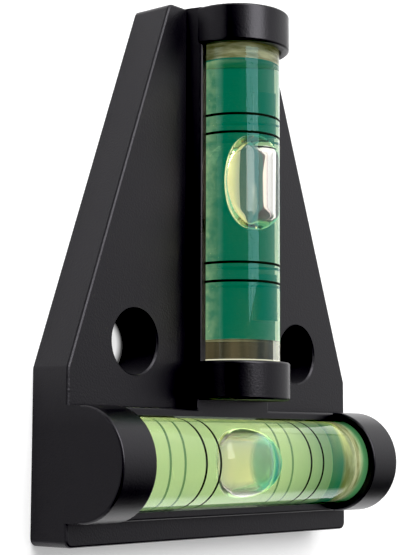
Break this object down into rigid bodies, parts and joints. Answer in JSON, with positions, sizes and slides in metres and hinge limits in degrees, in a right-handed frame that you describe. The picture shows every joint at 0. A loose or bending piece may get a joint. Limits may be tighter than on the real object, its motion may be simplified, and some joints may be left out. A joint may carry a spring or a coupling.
{
  "type": "t-shaped bubble level",
  "caption": "T-shaped bubble level with a black moulded body, screw holes, and a cross vial and a stem vial of green liquid with sliding bubbles.",
  "frame": {"origin": "middle of the back face's box", "axes": "+X across the level to the right seen from the front, +Y up the stem, +Z out of the front; the level lies on its back"},
  "size_m": [0.0552, 0.0676, 0.0151],
  "materials": {
    "black_abs": "satin moulded black",
    "clear_acrylic": "clear polished",
    "green_spirit": "clear green liquid",
    "bubble_air": "clear",
    "black_line": "filled black line"
  },
  "bodies": {
    "level": {"body": "black_abs", "cross_barrel": "clear_acrylic", "cross_plug": "clear_acrylic", "cross_liquid": "green_spirit", "cross_ring_1": "black_line", "cross_ring_2": "black_line", "cross_ring_3": "black_line", "cross_ring_4": "black_line", "stem_barrel": "clear_acrylic", "stem_plug": "clear_acrylic", "stem_liquid": "green_spirit", "stem_ring_1": "black_line", "stem_ring_2": "black_line", "stem_ring_3": "black_line", "stem_ring_4": "black_line"},
    "cross_air": {"cross_bubble": "bubble_air"},
    "stem_air": {"stem_bubble": "bubble_air"}
  },
  "joints": [
    {"name": "cross_bubble_slide", "type": "slide", "parent": "level", "child": "cross_air", "axis": [1, 0, 0], "range_m": [-0.0116, 0.015], "deforming": ["cross_liquid"]},
    {"name": "stem_bubble_slide", "type": "slide", "parent": "level", "child": "stem_air", "axis": [0, 1, 0], "range_m": [-0.0137, 0.0092], "deforming": ["stem_liquid"]}
  ]
}
